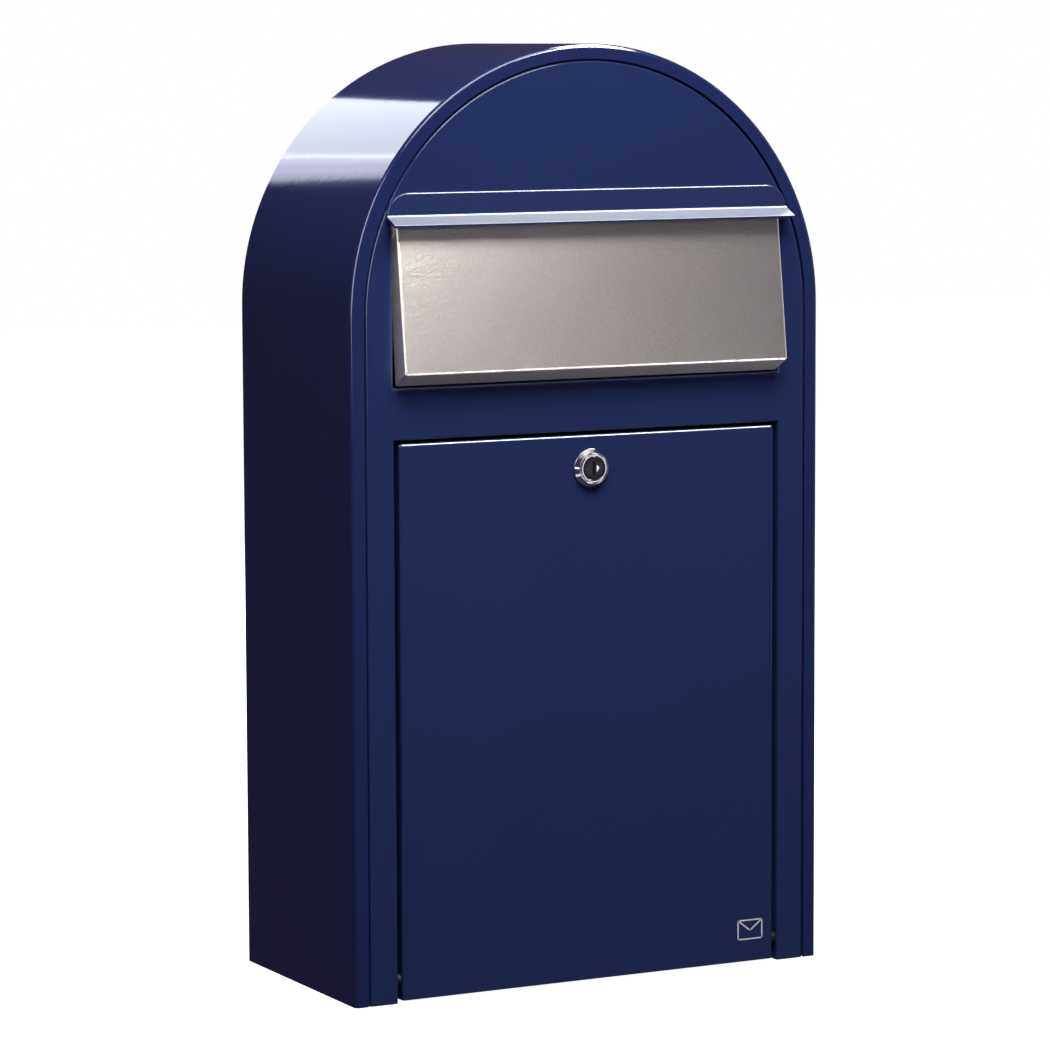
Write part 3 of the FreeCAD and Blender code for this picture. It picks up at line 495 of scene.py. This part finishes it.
def make_visor(material):
    """The visor: an upright plate with round top corners, and a lip that curves out of it and falls."""
    half, proud, corner, soft = visor_high.x, 2.0 * MM, 15.0 * MM, 1.0 * MM
    lip_edge, lip_rise = 1.65 * MM, 5.0 * MM
    reach = FRONT - visor_low.y
    edge_high, edge_low = visor_low.z + lip_edge, visor_low.z
    fold = edge_high + lip_rise
    foot = edge_low + reach * (fold - edge_high) / (reach - proud)

    plate = Sheet()
    path = upright_path(half, FRONT - proud, foot, visor_high.z, corner, 16)
    rows = plate.fold(path, arc((-soft, soft), soft, -90, 0, 6) + [(0, proud)])
    plate.fill([row[0] for row in rows])
    plate.fill([row[-1] for row in rows])
    plate.cap(rows[0] + rows[-1][::-1])

    slope = math.degrees(math.atan2(fold - edge_high, reach - proud))
    bend = 1.6 * MM
    turn = math.radians(90 - slope) / 2
    tangent = bend * math.tan(turn)
    centre = (-proud - bend, fold + tangent)
    overlap, rear, rear_rise = 0.3 * MM, 0.2 * MM, 1.0 * MM
    nose, nose_out = EDGE * 1.5, -reach + EDGE * 1.4
    lip = [(-proud + overlap, fold + tangent)] + arc(centre, bend, 0, slope - 90, 8)
    lip += arc((nose_out, edge_high - EDGE * 1.3), nose, 90 + slope, 180, 4)
    lip += arc((nose_out, edge_low + EDGE * 1.6), nose, 180, 270 + slope, 4)
    lip += [(-rear, foot), (-rear, foot + rear_rise)]

    end_width, end_tuck = 0.4 * MM, EDGE / 2
    heart_y, heart_z = FRONT - 6 * MM, fold - 2 * MM            # the lip's ends shrink towards this line
    rings = []
    for x, tuck in ((-half, end_tuck), (-half + end_width, 0), (half - end_width, 0), (half, end_tuck)):
        middle = Vector((x, heart_y, heart_z))
        spots = [Vector((x, FRONT + out, height)) for out, height in lip]
        rings.append([plate.mesh.verts.new(spot + (middle - spot).normalized() * tuck) for spot in spots])
    for one, two in zip(rings, rings[1:]):
        wall(plate.mesh, one, two)
    plate.cap(rings[0])
    plate.cap(rings[-1][::-1])
    return plate.piece("visor_strip", "box", "painted_front", material, "visor")


def make_flap(material):
    """The flap: one stainless sheet, raked face, with foot, head and both cheeks folded back."""
    half, thick, bend = flap_high.x, 1.0 * MM, 1.6 * MM
    foot_fold, head_fold = (-14.3, 397.0), (-2.72, 487.5)       # the raked face runs between these
    crown_front, crown_back = (1.0, 490.0), (8.5, 490.0)
    cheek_back, foot_back = (8.5, 480.0), (0.5, 389.4)
    end = [foot_fold, head_fold, crown_front, crown_back, cheek_back, foot_back]
    outline = [(FRONT + out * MM, height * MM) for out, height in end]
    bent_sides = (0, 1, 2, 5)                                   # the other two are the open back
    mesh = bmesh.new()
    left, right = ([mesh.verts.new((x, y, z)) for y, z in outline] for x in (-half, half))
    for number in bent_sides:
        following = (number + 1) % len(outline)
        mesh.faces.new((left[number], left[following], right[following], right[number]))
    mesh.faces.new(left[::-1])
    mesh.faces.new(right)
    bmesh.ops.recalc_face_normals(mesh, faces=mesh.faces)
    folds = [edge for edge in mesh.edges if len(edge.link_faces) == 2]
    bmesh.ops.bevel(mesh, geom=folds, offset=bend, offset_type="OFFSET", segments=7, profile=0.5,
                    affect="EDGES", clamp_overlap=True)
    data = mesh_data(mesh, "flap_sheet")
    thing = add_piece("flap_sheet", data, "flap", "stainless_sheet", material, "flap")
    shell = thing.modifiers.new("sheet_thickness", "SOLIDIFY")
    shell.thickness, shell.offset, shell.use_even_offset = thick, -1, True
    soften(thing, 40)
    return thing


# ------------------------------------------------------------------ lock

def round_corners(corners, radii, steps=4):
    """A closed profile with each corner rounded off over the given distance along its two sides."""
    made = []
    for number, (corner, radius) in enumerate(zip(corners, radii)):
        spot = Vector(corner)
        if not radius:
            made.append(tuple(spot))
            continue
        before = spot + (Vector(corners[number - 1]) - spot).normalized() * radius
        after = spot + (Vector(corners[(number + 1) % len(corners)]) - spot).normalized() * radius
        for step in range(steps + 1):
            t = step / steps
            made.append(tuple(before * (1 - t) ** 2 + spot * 2 * t * (1 - t) + after * t ** 2))
    return made


def around_lock(count=96):
    """Stops all round the lock's axis, for turned pieces."""
    centre = Vector((0, FRONT, LOCK_Z))
    angles = [math.tau * step / count for step in range(count)]
    return [(centre, Vector((math.cos(a), 0, math.sin(a)))) for a in angles]


def turned(name, corners, radii, body, slot, material, node, flats=None):
    """A ring turned about the lock's axis from a closed profile of (radius, back) corners in mm."""
    profile = [(out * MM, back * MM) for out, back in round_corners(corners, radii)]
    sheet = Sheet()
    rows = sheet.fold(around_lock(), profile + profile[:1], closed=True)
    if flats:
        for row in rows:
            for vert in row:
                if vert.co.y > FRONT:
                    vert.co.x = max(-flats, min(flats, vert.co.x))
    return sheet.piece(name, body, slot, material, node)


def make_collar(material):
    """The trim ring: a low cone with a narrow lip, sitting on the door."""
    bore, foot, step_out, lip_out, lip_in = 8.2, 12.5, 10.45, 10.2, 9.95
    front, cone, band, seat = -4.5, -4.1, -1.3, -2.2
    corners = [(bore, 0), (foot, 0), (foot, band), (step_out, cone), (lip_out, front), (lip_in, front),
               (lip_in, seat), (bore, seat)]
    radii = [0, 0.1, 0.45, 0.25, 0.15, 0.1, 0.2, 0]
    return turned("trim_ring", corners, radii, "door", "lock_chrome", material, "lock_collar")


def make_lock_body(material):
    """The lock's head, a flat bright ring, and its threaded shank with two flats."""
    crest, root, pitch, turns, first = 8.0, 7.55, 1.0, 13, 15.2
    bore, well, head, flats = 6.05, 7.8, 9.15, 6.9
    well_floor, back, seat, front = -1.8, 17, -2.25, -5.0
    thread = []
    for turn in range(turns):
        thread += [(root, first - turn * pitch), (crest, first - (turn + 0.5) * pitch)]
    corners = [(well, well_floor), (bore, well_floor), (bore, back), (7.6, back), (crest, 16.4)] + thread
    corners += [(crest, seat), (head, seat), (head, -4.6), (8.75, front), (8.05, front), (well, -4.7)]
    radii = [0.1, 0, 0, 0, 0] + [0] * len(thread) + [0, 0.1, 0.15, 0.15, 0.15, 0.15]
    return turned("lock_body", corners, radii, "door", "lock_chrome", material, "lock_housing",
                  flats=flats * MM)


def oblong(mesh, half_x, half_z, corner, back, count=5):
    """A ring of vertices round an upright oblong centred on the lock's axis; sizes in mm."""
    spots = []
    for x, z, start in ((1, 1, 0), (-1, 1, 90), (-1, -1, 180), (1, -1, 270)):
        centre = (x * (half_x - corner) * MM, LOCK_Z + z * (half_z - corner) * MM)
        spots += arc(centre, corner * MM, start, start + 90, count)
    return [mesh.verts.new((x, FRONT + back * MM, z)) for x, z in spots]


def make_plug(material):
    """The plug: a face with a ring groove and a sunk border round the keyway, a barrel, a square tail."""
    face, mouth, shoulder = -4.7, 7.25, -1.85
    barrel, end = 6.0, 17.2
    groove = ((0.75, 0), (0.85, 0.1), (1.0, 0.1), (1.1, 0))     # steps in from the mouth, and depths
    rim = [(barrel, end), (barrel, shoulder), (mouth, shoulder), (mouth, face + 0.25),
           (mouth - 0.08, face + 0.08), (mouth - 0.25, face)]
    rim += [(mouth - step, face + drop) for step, drop in groove]
    sheet = Sheet()
    rows = sheet.fold(around_lock(), [(out * MM, back * MM) for out, back in rim], closed=True)

    key_x, key_z, key_corner, key_end = 0.9, 4.5, 0.15, 11
    tail_half, tail_corner = 3, 0.3
    keyway = [
        oblong(sheet.mesh, key_x + 0.65, key_z + 0.75, 0.5, face),
        oblong(sheet.mesh, key_x + 0.52, key_z + 0.62, 0.45, face + 0.3),
        oblong(sheet.mesh, key_x + 0.08, key_z + 0.08, 0.2, face + 0.3),
        oblong(sheet.mesh, key_x, key_z, key_corner, face + 0.4),
        oblong(sheet.mesh, key_x, key_z, key_corner, key_end),
    ]
    for one, two in zip(keyway, keyway[1:]):
        wall(sheet.mesh, one, two)
    sheet.fill([row[-1] for row in rows], keyway[0])
    sheet.cap(keyway[-1])
    sheet.cap([row[0] for row in rows])
    tail = [oblong(sheet.mesh, tail_half, tail_half, tail_corner, back) for back in (end - 0.2, end + 1.8)]
    wall(sheet.mesh, *tail)
    sheet.cap(tail[1])
    return sheet.piece("plug", "lock_plug", "lock_face", material, "lock_plug")


def make_nib(material):
    """The bright raised nib beside the keyway, with a dip in its middle."""
    nib = [(1.72, -2.4), (2.6, -1.7), (3.75, 0.1), (3.8, 0.9), (3.2, 1.9), (2.5, 2.3), (1.72, 2.3)]
    middle = Vector((2.6, 0.1))
    root, rim, crest, dip = -4.55, -4.9, -5.0, -4.75
    sheet = Sheet()
    rings = []
    for shrink, back in ((1, root), (1, rim), (0.94, crest), (0.66, crest), (0.6, dip)):
        spots = [middle + (Vector(corner) - middle) * shrink for corner in nib]
        rings.append([sheet.mesh.verts.new((spot.x * MM, FRONT + back * MM, LOCK_Z + spot.y * MM))
                      for spot in spots])
    for one, two in zip(rings, rings[1:]):
        wall(sheet.mesh, one, two)
    sheet.cap(rings[0])
    sheet.cap(rings[-1])
    return sheet.piece("plug_nib", "lock_plug", "lock_chrome", material)


# ------------------------------------------------------------------ printed mark

def make_mark(material):
    """A small plain envelope printed near the door's foot: a hollow rectangle under a folded corner."""
    width, height, line = 18 * MM, 12.5 * MM, 0.9 * MM
    sink, lift, flap_tip = 0.02 * MM, 0.06 * MM, -0.1
    from_side, from_foot = 17.2 * MM, 21 * MM
    centre_x, centre_z = DOOR_HALF - from_side, door_low.z + from_foot
    mesh = bmesh.new()

    def stroke(start, end):
        along = (end - start).normalized() * line / 2
        across = Vector((-along.z, 0, along.x))
        corners = [start - along - across, end + along - across, end + along + across,
                   start - along + across]
        low = [mesh.verts.new(spot + Vector((0, sink, 0))) for spot in corners]
        high = [mesh.verts.new(spot - Vector((0, lift, 0))) for spot in corners]
        mesh.faces.new(high)
        mesh.faces.new(low[::-1])
        wall(mesh, low, high)

    def spot(right, up):
        return Vector((centre_x + right * width / 2, FRONT, centre_z + up * height / 2))

    corners = [spot(-1, -1), spot(1, -1), spot(1, 1), spot(-1, 1)]
    for start, end in zip(corners, corners[1:] + corners[:1]):
        stroke(start, end)
    stroke(spot(-1, 1), spot(0, flap_tip))
    stroke(spot(0, flap_tip), spot(1, 1))
    bmesh.ops.recalc_face_normals(mesh, faces=mesh.faces)
    data = mesh_data(mesh, "envelope_mark")
    return add_piece("envelope_mark", data, "door", "painted_front", material)


# ------------------------------------------------------------------ CAD nodes that keep their shape

def dress(material, *nodes):
    """Give CAD nodes, which keep their own shape, a finish on all their material slots."""
    for node in nodes:
        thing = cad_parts[node]
        for place in thing.material_slots:
            place.material = material


# ------------------------------------------------------------------ studio

def aim(thing, spot):
    """Turn a light or camera to look at a spot."""
    thing.rotation_mode = "QUATERNION"
    thing.rotation_quaternion = (Vector(spot) - thing.location).to_track_quat("-Z", "Y")


def direction(azimuth, elevation):
    """Unit vector away from the object: azimuth 0 is in front of it, 90 to its right."""
    a, e = math.radians(azimuth), math.radians(elevation)
    return Vector((math.sin(a) * math.cos(e), -math.cos(a) * math.cos(e), math.sin(e)))


def softbox(name, spot, azimuth, elevation, distance, size, radiance, colour=(1, 1, 1)):
    """A rectangular light aimed at a spot on the object. Radiance is its brightness when seen in a
    mirror, where 1 is white."""
    width, height = size
    data = bpy.data.lights.new(name, "AREA")
    data.shape, data.size, data.size_y = "RECTANGLE", width, height
    data.energy = radiance * math.pi * width * height
    data.color = colour
    light = bpy.data.objects.new(name, data)
    light.location = Vector(spot) + direction(azimuth, elevation) * distance
    bpy.context.scene.collection.objects.link(light)
    aim(light, spot)
    light.visible_camera = False
    return light


def gloss_strip(name, spot, towards, distance, size, radiance, colour=(1, 1, 1)):
    """A long card that only draws bright lines on folds: its second side stays square to X."""
    light = softbox(name, spot, 0, 0, distance, size, radiance, colour)
    back = Vector(towards).normalized()
    across = (Vector((1, 0, 0)) - back * back.x).normalized()
    light.location = Vector(spot) + back * distance
    turn = Matrix((across, back.cross(across), back)).transposed()
    light.rotation_quaternion = turn.to_quaternion()
    light.visible_diffuse = False
    return light


def make_world():
    """A white backdrop that the box itself sees only as a dim violet room."""
    room_colour, room_strength = (0.95, 0.72, 1.1, 1), 0.055
    world = bpy.data.worlds.new("studio_white")
    bpy.context.scene.world = world
    world.use_nodes = True
    tree = world.node_tree
    backdrop = tree.nodes["Background"]
    backdrop.inputs["Color"].default_value = (1, 1, 1, 1)
    room = tree.nodes.new("ShaderNodeBackground")
    room.inputs["Color"].default_value = room_colour
    room.inputs["Strength"].default_value = room_strength
    seen = tree.nodes.new("ShaderNodeLightPath")
    either = tree.nodes.new("ShaderNodeMixShader")
    tree.links.new(seen.outputs["Is Camera Ray"], either.inputs["Fac"])
    tree.links.new(room.outputs[0], either.inputs[1])
    tree.links.new(backdrop.outputs[0], either.inputs[2])
    tree.links.new(either.outputs[0], tree.nodes["World Output"].inputs["Surface"])


def make_floor():
    """A wide plain floor, a hair below the box, that takes no part in its lighting."""
    half_width, drop = 6.0, 0.5 * MM
    mesh = bmesh.new()
    bmesh.ops.create_grid(mesh, x_segments=8, y_segments=8, size=half_width)
    floor = bpy.data.objects.new("floor", mesh_data(mesh, "floor"))
    floor.location.z = -drop
    bpy.context.scene.collection.objects.link(floor)
    floor.data.materials.append(pale_floor())
    floor.visible_glossy = False
    floor.visible_diffuse = False


def gather(light, pieces, use="pieces"):
    """A collection of pieces for one light's linking."""
    group = bpy.data.collections.new(f"{light.name}_{use}")
    for piece in pieces:
        group.objects.link(piece)
    return group


def only_on(light, *pieces):
    """Let a card light these pieces alone, with nothing in its way but the floor."""
    light.light_linking.receiver_collection = gather(light, pieces)
    light.light_linking.blocker_collection = gather(light, [bpy.data.objects["floor"]], "blockers")


def keep_off(light, *pieces):
    """Let a light reach everything but these pieces."""
    group = gather(light, pieces)
    for member in group.collection_objects:
        member.light_linking.link_state = "EXCLUDE"
    light.light_linking.receiver_collection = group


def make_studio(wrap, door, visor, flap, lock):
    """Lights for the whole box, then cards that each draw one highlight. A softbox row gives the spot,
    azimuth, elevation, distance, (width, height), radiance and colour."""
    white, warm = (1.0, 0.98, 0.96), (1.0, 0.965, 0.94)
    make_world()
    make_floor()
    middle = (0, FRONT, wrap_high.z * 0.62)
    general = [
        softbox("key_above", middle, -8, 58, 1.7, (1.3, 0.9), 10.8, white),
        softbox("tall_left", (-WRAP_HALF, FRONT, 0.95), -62, 0, 1.6, (0.6, 1.2), 1.1, (0.9, 0.6, 1.15)),
        softbox("tall_right", (WRAP_HALF, FRONT, 0.55), 72, 0, 1.6, (0.35, 1.2), 1.2, (0.9, 0.86, 1.0)),
        gloss_strip("left_strip", middle, (-0.8, -0.45, 0.35), 1.7, (0.5, 1.6), 9.0, (0.9, 0.88, 1.0)),
    ]
    for light in general:
        keep_off(light, flap, *lock)
    fold_strip = gloss_strip("fold_strip", middle, (0.459, -0.35, 0.82), 2.0, (0.6, 2.6), 40.0)
    fold_strip.light_linking.receiver_collection = gather(fold_strip, [wrap, door, visor])

    back_fill = softbox("back_fill", (0, BACK, 0.3), 180, 4, 2.2, (1.3, 1.1), 9.0, white)
    back_fill.visible_glossy = False

    shoulder = (-0.13, 0, ARCH_CENTRE + 0.11)
    away, wide, narrow, tall, rise, centre = 2.4, 0.666, 0.074, 0.6, 23.5, 182.2
    brightest, fading = 4.3, (4.0, 3.7, 3.4)
    sky, lavender = (0.9, 0.96, 1.04), (0.88, 0.88, 1.1)
    edge = centre + math.degrees(math.atan(wide / 2 / away))
    half_step = math.degrees(math.atan(narrow / 2 / away))
    softbox("shoulder_box", shoulder, centre, rise, away, (wide, tall), brightest, sky)
    for number, radiance in enumerate(fading):
        azimuth = edge + (2 * number + 1) * half_step
        softbox(f"shoulder_low_{number}", shoulder, azimuth, rise, away, (narrow, tall), radiance, lavender)

    lip = (0, visor_low.y, visor_low.z)
    only_on(softbox("lip_box", lip, 141, 45, 1.46, (0.8, 0.6), 15.6, (0.91, 1.06, 0.8)), visor)

    face = Vector((0, flap_low.y, (flap_low.z + flap_high.z) / 2))
    foot = Vector((0, flap_low.y, flap_low.z))
    left_part = face - Vector((0.1, 0, 0))
    for light in (softbox("flap_near", left_part, -20, 58, 0.38, (0.18, 0.14), 94.0, warm),
                  softbox("flap_above", face, 0, 60, 1.2, (1.0, 0.4), 2.6, warm)):
        light.light_linking.receiver_collection = gather(light, [flap])
    only_on(softbox("flap_front", face, 26, 10, 2.0, (1.0, 0.5), 0.06, warm), flap)
    only_on(softbox("flap_foot_card", foot, 27, -40, 0.45, (0.9, 0.07), 14.0, warm), flap)
    only_on(softbox("flap_left_card", face, -75, 0, 0.9, (0.2, 0.6), 9.0, warm), flap)
    only_on(softbox("flap_right_card", face, 95, 5, 0.9, (0.3, 0.6), 3.0, warm), flap)

    cylinder = (0, collar_low.y, LOCK_Z)
    only_on(softbox("lock_front_card", cylinder, 27.5, -4, 0.8, (0.22, 0.22), 1.3), *lock)
    only_on(softbox("lock_top_card", cylinder, -75, 68, 0.5, (0.5, 0.2), 1.8), *lock)
    only_on(softbox("lock_left_card", cylinder, -77, -1, 0.5, (0.12, 0.06), 2.2), *lock)
    only_on(softbox("lock_low_card", cylinder, -75, -50, 0.5, (0.5, 0.35), 1.0, (0.8, 0.82, 1.1)), *lock)


def make_camera():
    """A long lens, a little above the box and to its left."""
    azimuth, elevation, distance, roll = -27.52, 6.38, 2.785, -0.23
    target = Vector((-0.0472, FRONT, 0.2981))
    sensor, focal, nearest, farthest = 36.0, 151.3, 0.1, 100
    data = bpy.data.cameras.new("camera")
    data.sensor_width, data.lens = sensor, focal
    data.clip_start, data.clip_end = nearest, farthest
    camera = bpy.data.objects.new("camera", data)
    bpy.context.scene.collection.objects.link(camera)
    camera.location = target + direction(azimuth, elevation) * distance
    aim(camera, target)
    camera.rotation_quaternion = camera.rotation_quaternion @ Quaternion((0, 0, 1), math.radians(roll))
    bpy.context.scene.camera = camera


# ------------------------------------------------------------------ assembly

body_blue = gloss_blue("body_blue", (0.016, 0.026, 0.112), (0.020, 0.033, 0.132), 0.045)
visor_blue = gloss_blue("visor_blue", (0.018, 0.032, 0.120), (0.022, 0.040, 0.140), 0.2)
front_blue = gloss_blue("front_blue", (0.018, 0.032, 0.120), (0.022, 0.040, 0.140), 0.08)
stainless = stainless_sheet()
chrome = lock_chrome()
plated = drawn_steel("plated_steel", (0.42, 0.42, 0.4), (0.66, 0.66, 0.64), 0.28)

wrap = make_wrap(body_blue)
make_lining(body_blue)
make_front_sheet(front_blue)
door_sheet = make_door_sheet(front_blue)
visor_strip = make_visor(visor_blue)
flap_sheet = make_flap(stainless)
trim_ring = make_collar(chrome)
lock_body = make_lock_body(chrome)
plug = make_plug(lock_face())
plug_nib = make_nib(chrome)
make_mark(printed_white())
dress(body_blue, "back_panel", "floor_panel", "letter_guard", "lock_keeper", "door_stop_left",
      "door_stop_right")
dress(plated, "hinge_pin_left", "hinge_pin_right", "rod_clips", "lock_washer", "lock_nut", "lock_cam",
      "cam_washer", "cam_screw")
dress(drawn_steel("drawn_rod", (0.5, 0.5, 0.5), (0.7, 0.7, 0.7), 0.2), "flap_rod")
dress(soft_rubber(), "door_buffers", "flap_buffers")
dress(nylon("natural_nylon", (0.62, 0.6, 0.53), (0.78, 0.77, 0.71)), "rod_bush_left", "rod_bush_right")
dress(nylon("black_nylon", (0.008, 0.008, 0.01), (0.02, 0.02, 0.024)), "hinge_washer_left",
      "hinge_washer_right")
dress(wafer_brass(), "lock_wafers")

bpy.context.scene.view_settings.view_transform = "Standard"
make_studio(wrap, door_sheet, visor_strip, flap_sheet, (trim_ring, lock_body, plug, plug_nib))
make_camera()
